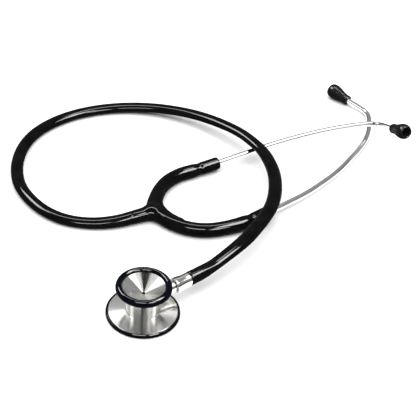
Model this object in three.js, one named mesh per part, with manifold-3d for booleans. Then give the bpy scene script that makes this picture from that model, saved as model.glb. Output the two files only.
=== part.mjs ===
// A dual-head stethoscope laid down on a table: a chestpiece with a diaphragm below and an open
// bell above, a steel stem, a single black hose that runs round in one big loop to a Y-shaped
// yoke, and two steel ear tubes that cross just short of their ear tips.
//
// Frame: millimetres, +Z up, the table at Z = 0. The origin is the centre of the diaphragm's
// outer face. "Left" and "right" are the wearer's.

import * as THREE from "three";
import { mergeVertices } from "three/addons/utils/BufferGeometryUtils.js";
import Module from "manifold-3d";

const wasm = await Module();
wasm.setup();

// ---------- Driving dimensions (mm, degrees) ----------

const GAP = 0.3; // room left between pieces that touch

// Chestpiece, turned about the Z axis
const PLATE_R = 22.5; // steel rim of the diaphragm side
const PLATE_Z = 1.5; // underside of that rim
const NECK_R = 11.1; // drum between the two sides, at the plate
const NECK_TOP_R = 12.5; // and just below the bell's flange
const BELL_APEX_Z = 17.5; // bottom of the bell's cone
const BELL_RIM_R = 13.6; // top edge of the bell's cone
const BELL_RIM_Z = 23.3;
const BELL_FLANGE_R = 15.3; // flange that the bell ring grips
const BELL_FLANGE_T = 2.7;
const BELL_PORT_R = 0.9;
const DIAPHRAGM_PORT_R = 1.5;
const DIAPHRAGM_R = 22.0;
const DIAPHRAGM_T = 0.5;
const DIAPHRAGM_RING_R = 24.0;
const DIAPHRAGM_RING_TOP = 3.2;
const BELL_RING_MID_R = 15.8; // the bell ring's oval section
const BELL_RING_Z = 22.5;
const BELL_RING_HALF_W = 2.3;
const BELL_RING_HALF_H = 2.75;

// Stem, along its own X axis from the middle of the chestpiece
const STEM_Z = 11.0;
const STEM_HEADING = 42;
const STEM_R = 3.2;
const STEM_START = -3.6;
const STEM_BORE_R = 1.5;
const STEM_BORE_START = -1.2;
const STEM_PORT_R = 1.1; // cross port, from the bore out to the head's port
const STEM_SHANK_END = 36.2;
const BARB_END = 46.0;
const BARB_R = 3.0;
const BARB_NECK_R = 2.4;
const BARB_STARTS = [37.4, 40.2, 43.0];
const BARB_TAPER = 2.4; // length of one barb
const BOSS_R = 5.2; // round boss on the drum's side, which holds the sleeve
const BOSS_START = 5.0;
const BOSS_END = 16.0;
const SLEEVE_R = 3.95;
const SLEEVE_START = 12.7;
const SLEEVE_END = 23.9;
const COLLAR_R = 4.8;
const COLLAR_LIP_R = 5.35; // flared end, next to the head
const COLLAR_START = 24.2;
const COLLAR_END = 36.5;
const SLOT_LENGTH = 5.4; // index slot cut in the collar
const SLOT_WIDTH = 1.8;
const SLOT_DEPTH = 0.8;
const SLOT_INSET = 0.8; // from the collar's flared end
const SLOT_TILT = -20; // from straight up, about the stem
const DETENT_X = 6.5;
const DETENT_BALL_R = 0.9;
const DETENT_BALL_OFF = 3.95; // ball centre, out from the stem's axis
const DETENT_POCKET_R = 1.25;
const DETENT_POCKET_TOP = 7.2;
const SPRING_COIL_R = 0.75;
const SPRING_WIRE_R = 0.16;
const SPRING_TURNS = 3;
const CLIP_X = 11.8;
const CLIP_T = 0.5;
const CLIP_RECESS_START = 11.3;
const CLIP_INNER_R = 2.75;
const CLIP_OUTER_R = 3.7;
const CLIP_HALF_OPENING = 0.35; // radians
const O_RING_X = [-1.9, 9.6];
const O_RING_MID_R = 3.02;
const O_RING_SECTION_R = 0.32;

// Hose: an oval section that lies flat
const HOSE_W = 9.0;
const HOSE_H = 6.9;
const HOSE_STEPS = 76;
const CUFF_R = 4.75; // where the hose is stretched over the stem's barb
const CUFF_LENGTH = 12.0;

// Yoke: two round arms with a sound bore, a socket at each end and one leaf spring
const ARM_R = 5.0;
const ARM_WAIST_R = 4.3;
const ARM_BORE_R = 1.9;
const ROOT_BACK = 4.2; // how far the arm's ball-shaped root reaches back past its hinge
const SOCKET_R = 4.65;
const SOCKET_LENGTH = 16.0;
const WAIST_LENGTH = 5.0; // from full arm down to the waist just behind the socket
const WEB_T = 6.4; // flat web in the crotch
const WEB_CLEARANCE = 0.9; // between the web and the arms, which turn against it
const LEAF_OFFSET = 3.45; // leaf spring, in from the middle of the arm
const LEAF_T = 0.7;
const LEAF_H = 3.8;
const LEAF_SLACK = 0.7; // how much wider and higher than the leaf its slot is
const LEAF_STEPS = 32;
const LEAF_SHARE = 0.5; // how far along each arm the leaf spring reaches
const YOKE_MIDDLE = [-3.2, 99.4, 5.0];

// Ear tubes and tips
const EAR_TUBE_R = 2.15;
const EAR_TUBE_BORE_R = 1.6;
const EAR_TUBE_STEPS = 34;
const INSERTED = 15.0; // length of ear tube inside the yoke's socket
const TIP_LENGTH = 19.5;
const TIP_COVER = 4.0; // length of ear tube inside the tip
const STUD_R = 1.3;
const STUD_THREAD_R = 2.1;
const STUD_BORE_R = 0.7;

// ---------- Routes ----------

// The hose from the collar, over the left arm's socket and the right ear tube, round to the yoke
const HOSE_ROUTE = [
  [27.35, 24.62, 11.0],
  [31.1, 28.0, 11.0],
  [35.0, 31.6, 11.1],
  [42.6, 39.2, 11.9],
  [50.0, 47.9, 13.0],
  [57.4, 57.4, 14.0],
  [64.0, 67.3, 14.4],
  [70.1, 79.5, 14.4],
  [75.3, 91.3, 14.4],
  [79.6, 103.1, 14.4],
  [82.4, 118.0, 14.4],
  [82.6, 137.0, 14.4],
  [80.1, 152.6, 14.4],
  [73.4, 171.0, 14.4],
  [66.3, 182.3, 14.1],
  [55.0, 196.4, 13.0],
  [40.0, 209.3, 11.2],
  [22.0, 220.8, 9.0],
  [3.7, 228.0, 7.1],
  [-15.5, 231.7, 5.5],
  [-36.4, 231.1, 4.3],
  [-56.5, 225.6, 3.7],
  [-73.8, 216.4, 3.5],
  [-88.4, 203.4, 3.5],
  [-98.6, 189.0, 3.5],
  [-104.7, 173.0, 3.5],
  [-106.9, 156.0, 3.5],
  [-105.6, 138.0, 3.5],
  [-100.3, 120.2, 3.5],
  [-91.0, 105.5, 3.5],
  [-79.2, 93.7, 3.5],
  [-66.8, 86.5, 3.5],
  [-55.5, 83.6, 3.5],
  [-42.6, 83.4, 3.6],
  [-32.6, 85.2, 3.9],
  [-23.6, 88.2, 4.3],
  [-16.0, 92.0, 4.7],
];

// Middle of each arm, from its hinge at the yoke to its mouth
const RIGHT_ARM_ROUTE = [
  [-2.9, 107.3, 5.0],
  [-2.2, 114.0, 5.0],
  [0.4, 126.5, 5.0],
  [5.2, 137.3, 5.0],
  [13.3, 146.6, 5.0],
  [20.5, 151.3, 5.1],
  [27.1, 155.4, 5.3],
  [33.8, 159.6, 5.7],
  [40.5, 163.8, 6.2],
];
const LEFT_ARM_ROUTE = [
  [4.0, 94.4, 5.0],
  [9.3, 90.5, 5.0],
  [17.8, 86.2, 5.0],
  [28.2, 83.9, 5.0],
  [38.6, 84.7, 5.0],
  [48.9, 88.4, 5.0],
  [58.0, 93.3, 5.0],
  [66.9, 99.7, 5.0],
  [72.8, 105.0, 5.0],
  [78.7, 110.4, 5.0],
];

// Middle of each ear tube outside its socket, up to the bend near the tip
const RIGHT_EAR_ROUTE = [
  [50.7, 170.4, 7.0],
  [61.0, 177.1, 7.7],
  [80.4, 189.4, 9.2],
  [94.1, 197.1, 10.2],
  [109.5, 205.1, 11.2],
  [125.0, 211.9, 12.3],
  [140.6, 217.3, 13.4],
  [150.0, 220.0, 14.0],
  [155.5, 221.2, 14.3],
  [159.5, 221.1, 14.5],
  [162.9, 219.9, 15.2],
  [165.3, 217.4, 16.5],
];
const LEFT_EAR_ROUTE = [
  [88.7, 119.4, 4.8],
  [94.5, 125.2, 4.6],
  [101.8, 132.4, 4.4],
  [109.3, 140.6, 4.2],
  [116.8, 150.0, 4.0],
  [125.0, 160.8, 3.8],
  [133.3, 173.5, 3.6],
  [140.7, 187.1, 3.4],
  [149.2, 203.3, 3.2],
  [154.8, 218.1, 3.0],
  [157.8, 232.9, 2.8],
  [158.4, 247.0, 2.6],
  [157.9, 251.6, 2.6],
  [156.6, 255.0, 2.7],
  [154.6, 257.9, 3.0],
];
// Where each ear tube meets its tip, and the way the tip points
const RIGHT_TIP_BASE = [171.7, 204.2, 23.1];
const RIGHT_TIP_AIM = [0.4, -0.82, 0.41];
const LEFT_TIP_BASE = [142.4, 268.0, 4.6];
const LEFT_TIP_AIM = [-0.743, 0.661, 0.105];

// ---------- Materials ----------

const steel = () => new THREE.MeshStandardMaterial({ color: 0xc9c8c4, roughness: 0.22, metalness: 1 });
const chrome = () => new THREE.MeshStandardMaterial({ color: 0xd9dadb, roughness: 0.08, metalness: 1 });
const springSteel = () => new THREE.MeshStandardMaterial({ color: 0x8b8d90, roughness: 0.35, metalness: 1 });
const vinyl = () => new THREE.MeshStandardMaterial({ color: 0x0b0b0d, roughness: 0.18, metalness: 0 });
const ringRubber = () => new THREE.MeshStandardMaterial({ color: 0x0a0d14, roughness: 0.25, metalness: 0 });
const tipRubber = () => new THREE.MeshStandardMaterial({ color: 0x101012, roughness: 0.4, metalness: 0 });
const sealRubber = () => new THREE.MeshStandardMaterial({ color: 0x1a1a1a, roughness: 0.6, metalness: 0 });
const membrane = () => new THREE.MeshStandardMaterial({ color: 0xe4e2d8, roughness: 0.3, metalness: 0 });

// ---------- Geometry helpers ----------

const vec = (p) => new THREE.Vector3(...p);
const spline = (points) => new THREE.CatmullRomCurve3(points.map(vec), false, "centripetal");

// A closed three.js geometry as a manifold solid
function solid(geometry) {
  const plain = geometry.clone();
  plain.deleteAttribute("normal");
  plain.deleteAttribute("uv");
  const merged = mergeVertices(plain, 1e-4);
  return new wasm.Manifold(
    new wasm.Mesh({
      numProp: 3,
      vertProperties: merged.attributes.position.array,
      triVerts: new Uint32Array(merged.index.array),
    }),
  );
}

// A manifold solid as a three.js geometry
function geometryOf(manifold) {
  const mesh = manifold.getMesh();
  const geometry = new THREE.BufferGeometry();
  geometry.setAttribute("position", new THREE.BufferAttribute(mesh.vertProperties, 3));
  geometry.setIndex(new THREE.BufferAttribute(mesh.triVerts, 1));
  geometry.computeVertexNormals();
  return geometry;
}

const cut = (body, ...tools) => tools.reduce((left, tool) => left.subtract(tool), body);
const join = (first, ...rest) => rest.reduce((sum, more) => sum.add(more), first);

// A solid of revolution about Z from [radius, z] points, listed with the solid on their left
function turned(profile, segments) {
  const lathe = new THREE.LatheGeometry(profile.map(([r, z]) => new THREE.Vector2(r, z)), segments);
  return solid(lathe.rotateX(Math.PI / 2));
}

// The same about X, for pieces on the stem, from [x, radius] points
function turnedOnX(profile, segments) {
  const lathe = new THREE.LatheGeometry(profile.map(([x, r]) => new THREE.Vector2(r, x)), segments);
  return solid(lathe.rotateZ(-Math.PI / 2));
}

function cylinderOnX(radius, from, to, segments) {
  const bar = new THREE.CylinderGeometry(radius, radius, to - from, segments);
  return solid(bar.rotateZ(Math.PI / 2).translate((from + to) / 2, 0, 0));
}

function cylinderOnZ(radius, from, to, segments, x = 0) {
  const bar = new THREE.CylinderGeometry(radius, radius, to - from, segments);
  return solid(bar.rotateX(Math.PI / 2).translate(x, 0, (from + to) / 2));
}

const sphere = (radius, at, segments = 20) =>
  solid(new THREE.SphereGeometry(radius, segments, segments / 2).translate(...at));

// An oval or round section run along a curve
function extrudedOval(curve, halfUp, halfAcross, steps, sides, boreRadius = 0) {
  const ring = (a, b) =>
    Array.from({ length: sides }, (_, i) => {
      const angle = (2 * Math.PI * i) / sides;
      return new THREE.Vector2(a * Math.cos(angle), b * Math.sin(angle));
    });
  const shape = new THREE.Shape(ring(halfUp, halfAcross));
  if (boreRadius > 0) shape.holes.push(new THREE.Path(ring(boreRadius, boreRadius)));
  return solid(new THREE.ExtrudeGeometry(shape, { extrudePath: curve, steps, bevelEnabled: false }));
}

// A flat strip, standing on edge, run along a curve
function extrudedStrip(curve, height, thickness, steps) {
  const shape = new THREE.Shape([
    new THREE.Vector2(-height / 2, -thickness / 2),
    new THREE.Vector2(height / 2, -thickness / 2),
    new THREE.Vector2(height / 2, thickness / 2),
    new THREE.Vector2(-height / 2, thickness / 2),
  ]);
  return solid(new THREE.ExtrudeGeometry(shape, { extrudePath: curve, steps, bevelEnabled: false }));
}

// A round rod along a curve whose radius is radiusAt(distance from the start, whole length)
function rod(curve, steps, sides, radiusAt) {
  const length = curve.getLength();
  const frames = curve.computeFrenetFrames(steps, false);
  const positions = [];
  const indices = [];
  for (let i = 0; i <= steps; i++) {
    const centre = curve.getPointAt(i / steps);
    const radius = radiusAt((length * i) / steps, length);
    for (let j = 0; j < sides; j++) {
      const angle = (2 * Math.PI * j) / sides;
      const point = centre
        .clone()
        .addScaledVector(frames.normals[i], radius * Math.cos(angle))
        .addScaledVector(frames.binormals[i], radius * Math.sin(angle));
      positions.push(point.x, point.y, point.z);
    }
  }
  const row = (i, j) => i * sides + (j % sides);
  for (let i = 0; i < steps; i++) {
    for (let j = 0; j < sides; j++) {
      indices.push(row(i, j), row(i, j + 1), row(i + 1, j));
      indices.push(row(i, j + 1), row(i + 1, j + 1), row(i + 1, j));
    }
  }
  for (let j = 1; j < sides - 1; j++) {
    indices.push(row(0, 0), row(0, j + 1), row(0, j));
    indices.push(row(steps, 0), row(steps, j), row(steps, j + 1));
  }
  const geometry = new THREE.BufferGeometry();
  geometry.setAttribute("position", new THREE.Float32BufferAttribute(positions, 3));
  geometry.setIndex(indices);
  return solid(geometry);
}

// A node of the assembly
function addNode(parent, name, shape, material) {
  const mesh = new THREE.Mesh(geometryOf(shape), material);
  mesh.name = name;
  parent.add(mesh);
  return mesh;
}

// Turns a solid made along +Z so that it points along aim from base
function aimed(shape, base, aim) {
  const turn = new THREE.Quaternion().setFromUnitVectors(new THREE.Vector3(0, 0, 1), vec(aim).normalize());
  const place = new THREE.Matrix4().compose(vec(base), turn, new THREE.Vector3(1, 1, 1));
  return shape.transform(place.toArray());
}

// ---------- Chestpiece ----------

// Outline of the bell's flange, grown by a margin; the ring's groove is cut with it
const flangeGroove = (margin) => [
  [10.0, BELL_RIM_Z - BELL_FLANGE_T - margin],
  [BELL_FLANGE_R + margin, BELL_RIM_Z - BELL_FLANGE_T - margin],
  [BELL_FLANGE_R + margin, BELL_RIM_Z + margin],
  [10.0, BELL_RIM_Z + margin],
  [10.0, BELL_RIM_Z - BELL_FLANGE_T - margin],
];

// Solids in the stem's frame are turned and lifted into the part's frame
function fromStemFrame(shape) {
  const place = new THREE.Matrix4().makeRotationZ(THREE.MathUtils.degToRad(STEM_HEADING));
  return shape.transform(place.setPosition(0, 0, STEM_Z).toArray());
}

function chestpieceBody() {
  const turnedBody = turned(
    [
      [0, 2.9],
      [3.0, 2.8],
      [19.8, 1.9],
      [20.4, PLATE_Z],
      [PLATE_R, PLATE_Z],
      [PLATE_R, 2.8],
      [PLATE_R - 0.3, 3.05],
      [NECK_R + 0.5, 4.1],
      [NECK_R, 4.4],
      [NECK_R + 0.3, 9.0],
      [NECK_TOP_R - 0.4, 16.0],
      [NECK_TOP_R, 18.6],
      [13.2, 19.9],
      [14.6, BELL_RIM_Z - BELL_FLANGE_T],
      [BELL_FLANGE_R, 21.1],
      [BELL_FLANGE_R, 22.9],
      [14.9, BELL_RIM_Z],
      [BELL_RIM_R, BELL_RIM_Z],
      [1.2, BELL_APEX_Z],
      [0, BELL_APEX_Z],
    ],
    44,
  );
  const boss = cylinderOnX(BOSS_R, BOSS_START, BOSS_END, 28);
  const bores = [
    cylinderOnX(STEM_R + GAP, STEM_START - GAP, BOSS_END + 1, 20),
    cylinderOnX(SLEEVE_R + GAP, CLIP_RECESS_START, BOSS_END + 1, 20), // clip recess and sleeve seat
    cylinderOnZ(DETENT_POCKET_R, 0, DETENT_POCKET_TOP, 12, DETENT_X),
    cylinderOnZ(BELL_PORT_R, 0, 10, 12),
    cylinderOnZ(DIAPHRAGM_PORT_R, -10, 0, 12),
  ].map(fromStemFrame);
  return cut(join(turnedBody, fromStemFrame(boss)), ...bores);
}

const diaphragm = () =>
  turned(
    [
      [0, 0],
      [20.2, 0],
      [20.8, 0.7],
      [DIAPHRAGM_R, 0.7],
      [DIAPHRAGM_R, 0.7 + DIAPHRAGM_T],
      [20.4, 0.7 + DIAPHRAGM_T],
      [19.8, DIAPHRAGM_T],
      [0, DIAPHRAGM_T],
    ],
    48,
  );

// A pressed-on ring: a lip under the diaphragm's edge and a wall round the plate's rim
const diaphragmRing = () =>
  turned(
    [
      [20.95, 0],
      [23.2, 0],
      [23.8, 0.5],
      [DIAPHRAGM_RING_R, 1.6],
      [23.8, 2.7],
      [23.3, DIAPHRAGM_RING_TOP],
      [22.9, 3.1],
      [PLATE_R + GAP, 2.8],
      [PLATE_R + GAP, 0.4],
      [20.95, 0.4],
      [20.95, 0],
    ],
    48,
  );

function bellRing() {
  const sectionPoints = 12;
  const section = Array.from({ length: sectionPoints + 1 }, (_, i) => {
    const angle = (2 * Math.PI * (i % sectionPoints)) / sectionPoints;
    return [
      BELL_RING_MID_R + BELL_RING_HALF_W * Math.cos(angle),
      BELL_RING_Z + BELL_RING_HALF_H * Math.sin(angle),
    ];
  });
  return cut(turned(section, 44), turned(flangeGroove(GAP), 44));
}

// ---------- Stem ----------

function stem() {
  const groove = (x, half, depthRadius) => [
    [x - half, STEM_R],
    [x - half, depthRadius],
    [x + half, depthRadius],
    [x + half, STEM_R],
  ];
  const barbs = BARB_STARTS.flatMap((x) => [
    [x, BARB_NECK_R],
    [x, BARB_R],
    [x + BARB_TAPER, BARB_NECK_R],
  ]);
  const shape = turnedOnX(
    [
      [STEM_START, 0],
      [STEM_START, STEM_R - 0.3],
      [STEM_START + 0.3, STEM_R],
      ...groove(O_RING_X[0], 0.6, 2.4),
      ...groove(DETENT_X, 1.2, 2.7),
      ...groove(O_RING_X[1], 0.6, 2.4),
      ...groove(CLIP_X, 0.55, 2.6),
      [STEM_SHANK_END, STEM_R],
      [STEM_SHANK_END, BARB_NECK_R],
      ...barbs,
      [BARB_END, BARB_NECK_R],
      [BARB_END, 0],
    ],
    20,
  );
  const soundBore = cylinderOnX(STEM_BORE_R, STEM_BORE_START, BARB_END + 1, 12);
  const port = cylinderOnZ(STEM_PORT_R, -STEM_R - 1, 0, 12); // faces whichever side of the head is in use
  return cut(shape, soundBore, port);
}

// The head's own sleeve, which the stem turns in
const stemSleeve = () =>
  turnedOnX(
    [
      [SLEEVE_START, STEM_R + GAP],
      [SLEEVE_START, SLEEVE_R],
      [SLEEVE_END - 0.3, SLEEVE_R],
      [SLEEVE_END, SLEEVE_R - 0.25],
      [SLEEVE_END, STEM_R + GAP],
      [SLEEVE_START, STEM_R + GAP],
    ],
    28,
  );

function stemCollar() {
  const sleeve = turnedOnX(
    [
      [COLLAR_START, STEM_R + GAP],
      [COLLAR_START, COLLAR_LIP_R - 0.4],
      [COLLAR_START + 0.4, COLLAR_LIP_R],
      [COLLAR_START + 3.0, COLLAR_LIP_R],
      [COLLAR_START + 7.0, COLLAR_R],
      [COLLAR_END - 0.3, COLLAR_R],
      [COLLAR_END, COLLAR_R - 0.3],
      [COLLAR_END, STEM_R + GAP],
      [COLLAR_START, STEM_R + GAP],
    ],
    32,
  );
  const slot = new THREE.BoxGeometry(SLOT_LENGTH, SLOT_WIDTH, 2 * SLOT_DEPTH);
  slot.translate(COLLAR_START + SLOT_INSET + SLOT_LENGTH / 2, 0, COLLAR_LIP_R);
  slot.rotateX(THREE.MathUtils.degToRad(SLOT_TILT));
  return cut(sleeve, solid(slot));
}

const oRing = (x) =>
  solid(new THREE.TorusGeometry(O_RING_MID_R, O_RING_SECTION_R, 8, 24).rotateY(Math.PI / 2).translate(x, 0, 0));

function stemCirclip() {
  const from = CLIP_HALF_OPENING;
  const to = 2 * Math.PI - CLIP_HALF_OPENING;
  const shape = new THREE.Shape().absarc(0, 0, CLIP_OUTER_R, from, to, false);
  shape.absarc(0, 0, CLIP_INNER_R, to, from, true);
  shape.closePath();
  const plate = new THREE.ExtrudeGeometry(shape, { depth: CLIP_T, bevelEnabled: false, curveSegments: 14 });
  return solid(plate.rotateY(Math.PI / 2).translate(CLIP_X - CLIP_T / 2, 0, 0));
}

function detentSpring() {
  const low = DETENT_BALL_OFF + DETENT_BALL_R + 0.12;
  const high = DETENT_POCKET_TOP - 0.25;
  const points = Array.from({ length: SPRING_TURNS * 8 + 1 }, (_, i) => {
    const angle = (2 * Math.PI * i) / 8;
    const z = low + ((high - low) * i) / (SPRING_TURNS * 8);
    return [DETENT_X + SPRING_COIL_R * Math.cos(angle), SPRING_COIL_R * Math.sin(angle), z];
  });
  return extrudedOval(spline(points), SPRING_WIRE_R, SPRING_WIRE_R, SPRING_TURNS * 12, 6);
}

// ---------- Yoke ----------

// The arm's middle line, with its first stretch carried back past its hinge
function armCurve(route, back = ROOT_BACK) {
  const hinge = vec(route[0]);
  const inwards = hinge.clone().sub(vec(route[1])).setLength(back);
  return spline([hinge.clone().add(inwards).toArray(), ...route]);
}

// Round root, full arm, waist, then a socket with a rounded mouth
function armRadius(distance, length) {
  if (distance < ROOT_BACK) return Math.sqrt(ARM_R ** 2 - (ROOT_BACK - distance) ** 2);
  const toMouth = length - distance;
  if (toMouth > SOCKET_LENGTH + WAIST_LENGTH) return ARM_R;
  if (toMouth > SOCKET_LENGTH) {
    const share = (toMouth - SOCKET_LENGTH) / WAIST_LENGTH;
    return ARM_WAIST_R + (ARM_R - ARM_WAIST_R) * share;
  }
  const swell = Math.min(1, (SOCKET_LENGTH - toMouth) / 3);
  const mouth = Math.max(0, 1.6 - toMouth);
  return ARM_WAIST_R + (SOCKET_R - ARM_WAIST_R) * swell - 0.5 * mouth;
}

// The leaf spring's line: along the inside of the right arm, round the crotch, along the left arm
function leafCurve() {
  const alongArm = (route, side) => {
    const curve = armCurve(route);
    return [0.16, 0.22, 0.3, 0.4, LEAF_SHARE].map((share) => {
      const tangent = curve.getTangentAt(share);
      const inward = new THREE.Vector3(-tangent.y, tangent.x, 0).setLength(side * LEAF_OFFSET);
      return curve.getPointAt(share).add(inward).toArray();
    });
  };
  const right = alongArm(RIGHT_ARM_ROUTE, -1).reverse();
  const left = alongArm(LEFT_ARM_ROUTE, 1);
  return spline([...right, [2.4, 102.0, YOKE_MIDDLE[2]], ...left]);
}

const leafSlot = () => extrudedStrip(leafCurve(), LEAF_H + LEAF_SLACK, LEAF_T + LEAF_SLACK, LEAF_STEPS);
const yokeSpring = () => extrudedStrip(leafCurve(), LEAF_H, LEAF_T, LEAF_STEPS);

function arm(route, earStart) {
  const curve = armCurve(route);
  const outside = rod(curve, 32, 14, armRadius);
  const soundBore = rod(armCurve(route, ROOT_BACK + 1), 18, 8, () => ARM_BORE_R);
  const mouth = vec(route.at(-1));
  const along = mouth.clone().sub(vec(earStart));
  const socket = new THREE.LineCurve3(
    vec(earStart).addScaledVector(along, -1 / INSERTED),
    mouth.clone().addScaledVector(along, 1 / INSERTED),
  );
  return cut(outside, soundBore, rod(socket, 2, 16, () => EAR_TUBE_R + GAP), leafSlot());
}

function yokeJunction() {
  const middle = vec(YOKE_MIDDLE);
  const stub = (to) => rod(new THREE.LineCurve3(middle, vec(to)), 2, 14, () => ARM_R);
  const inlet = spline([[-15.8, 92.1, 4.7], [-9.5, 95.6, 4.9], YOKE_MIDDLE]);
  const webOutline = new THREE.Shape()
    .moveTo(-6, 96)
    .lineTo(1.0, 116)
    .quadraticCurveTo(3.4, 102.5, 15.0, 93.5)
    .lineTo(4, 90)
    .closePath();
  const web = new THREE.ExtrudeGeometry(webOutline, { depth: WEB_T, bevelEnabled: false, curveSegments: 8 });
  const outside = join(
    rod(inlet, 5, 14, () => ARM_R - 0.3),
    sphere(ARM_R + 0.1, YOKE_MIDDLE),
    stub(RIGHT_ARM_ROUTE[0]),
    stub(LEFT_ARM_ROUTE[0]),
    solid(web.translate(0, 0, YOKE_MIDDLE[2] - WEB_T / 2)),
  );
  const clearOfArms = [RIGHT_ARM_ROUTE, LEFT_ARM_ROUTE].flatMap((route) => [
    sphere(ARM_R + 0.35, route[0]),
    rod(spline(route), 12, 14, () => ARM_R + WEB_CLEARANCE),
  ]);
  const bores = [RIGHT_ARM_ROUTE, LEFT_ARM_ROUTE].map((route) =>
    rod(new THREE.LineCurve3(middle, vec(route[0])), 2, 8, () => ARM_BORE_R),
  );
  bores.push(rod(spline([[-18, 91, 4.7], [-9.5, 95.6, 4.9], YOKE_MIDDLE]), 6, 8, () => ARM_BORE_R));
  // The cuts leave loose slivers of the web between the arms, which are dropped
  const pieces = cut(outside, ...clearOfArms, ...bores, leafSlot()).decompose();
  return pieces.sort((a, b) => b.volume() - a.volume())[0];
}

// ---------- Hose ----------

function mainTube() {
  const hose = extrudedOval(spline(HOSE_ROUTE), HOSE_H / 2, HOSE_W / 2, HOSE_STEPS, 10);
  const cuffStart = COLLAR_END + GAP;
  const cuff = turnedOnX(
    [
      [cuffStart, 0],
      [cuffStart, CUFF_R],
      [cuffStart + CUFF_LENGTH - 3, CUFF_R],
      [cuffStart + CUFF_LENGTH, HOSE_H / 2],
      [cuffStart + CUFF_LENGTH, 0],
    ],
    20,
  );
  const pocket = cylinderOnX(BARB_R + GAP, COLLAR_END - 1, BARB_END + GAP, 12);
  return cut(join(hose, fromStemFrame(cuff)), fromStemFrame(pocket));
}

// ---------- Ear tubes, studs and tips ----------

// The start of the ear tube, back along the socket from its mouth
function socketBottom(armRoute) {
  const mouth = vec(armRoute.at(-1));
  const back = vec(armRoute.at(-2)).sub(mouth).setLength(INSERTED);
  return mouth.add(back).toArray();
}

function earTube(armRoute, earRoute, tipBase, tipAim) {
  const intoTip = vec(tipBase).addScaledVector(vec(tipAim).normalize(), TIP_COVER);
  const curve = spline([socketBottom(armRoute), armRoute.at(-1), ...earRoute, tipBase, intoTip.toArray()]);
  return extrudedOval(curve, EAR_TUBE_R, EAR_TUBE_R, EAR_TUBE_STEPS, 10, EAR_TUBE_BORE_R);
}

// Made along +Z from the tip's base
const tipStud = () =>
  turned(
    [
      [STUD_BORE_R, -0.5],
      [STUD_R, -0.5],
      [STUD_R, TIP_COVER + GAP],
      [STUD_THREAD_R, TIP_COVER + GAP],
      [STUD_THREAD_R, 10.0],
      [1.8, 10.4],
      [STUD_BORE_R, 10.4],
      [STUD_BORE_R, -0.5],
    ],
    16,
  );

// A soft bulb with a wide sound hole in its nose
const earTip = () =>
  turned(
    [
      [EAR_TUBE_R + GAP, 0],
      [3.5, 0],
      [3.8, 0.5],
      [3.7, 3.5],
      [4.1, 6.5],
      [5.0, 10.0],
      [5.6, 12.8],
      [5.8, 15.0],
      [5.5, 17.2],
      [4.7, 18.9],
      [3.9, TIP_LENGTH],
      [3.3, 19.2],
      [2.7, 17.4],
      [1.6, 13.5],
      [1.5, 10.8],
      [EAR_TUBE_R + GAP, 10.7],
      [EAR_TUBE_R + GAP, 0],
    ],
    24,
  );

// ---------- Assembly ----------

const stethoscope = new THREE.Group();

const chestpiece = new THREE.Group();
addNode(chestpiece, "chestpiece_body", chestpieceBody(), steel());
addNode(chestpiece, "diaphragm", diaphragm(), membrane());
addNode(chestpiece, "diaphragm_ring", diaphragmRing(), ringRubber());
addNode(chestpiece, "bell_ring", bellRing(), ringRubber());
stethoscope.add(chestpiece);

const stemGroup = new THREE.Group();
stemGroup.position.z = STEM_Z;
stemGroup.rotation.z = THREE.MathUtils.degToRad(STEM_HEADING);
addNode(stemGroup, "stem_sleeve", stemSleeve(), steel());
addNode(stemGroup, "detent_ball", sphere(DETENT_BALL_R, [DETENT_X, 0, DETENT_BALL_OFF], 12), springSteel());
addNode(stemGroup, "detent_spring", detentSpring(), springSteel());
addNode(stemGroup, "stem", stem(), steel());
addNode(stemGroup, "stem_collar", stemCollar(), steel());
addNode(stemGroup, "stem_circlip", stemCirclip(), springSteel());
addNode(stemGroup, "stem_o_ring_inner", oRing(O_RING_X[0]), sealRubber());
addNode(stemGroup, "stem_o_ring_outer", oRing(O_RING_X[1]), sealRubber());
stethoscope.add(stemGroup);

addNode(stethoscope, "main_tube", mainTube(), vinyl());
addNode(stethoscope, "yoke_junction", yokeJunction(), vinyl());
addNode(stethoscope, "yoke_spring", yokeSpring(), springSteel());

const SIDES = [
  ["left", LEFT_ARM_ROUTE, LEFT_EAR_ROUTE, LEFT_TIP_BASE, LEFT_TIP_AIM],
  ["right", RIGHT_ARM_ROUTE, RIGHT_EAR_ROUTE, RIGHT_TIP_BASE, RIGHT_TIP_AIM],
];
for (const [side, armRoute, earRoute, tipBase, tipAim] of SIDES) {
  addNode(stethoscope, `${side}_yoke_arm`, arm(armRoute, socketBottom(armRoute)), vinyl());
  addNode(stethoscope, `${side}_ear_tube`, earTube(armRoute, earRoute, tipBase, tipAim), chrome());
  addNode(stethoscope, `${side}_tip_stud`, aimed(tipStud(), tipBase, tipAim), steel());
  addNode(stethoscope, `${side}_ear_tip`, aimed(earTip(), tipBase, tipAim), tipRubber());
}

export default stethoscope;
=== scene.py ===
"""A dual-head stethoscope lying on a pale table.

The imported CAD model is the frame: its bodies, joints and places. This script adds the looks: the
smooth hose and yoke, finely turned metal, soft ear tips, materials, light and camera.
Lengths are in metres, in the CAD model's own frame: +Z up, the table at Z = 0, the origin at the
centre of the diaphragm's face.
"""

import math

import bpy
import numpy as np
from mathutils import Matrix, Vector
from mathutils.kdtree import KDTree


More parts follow.
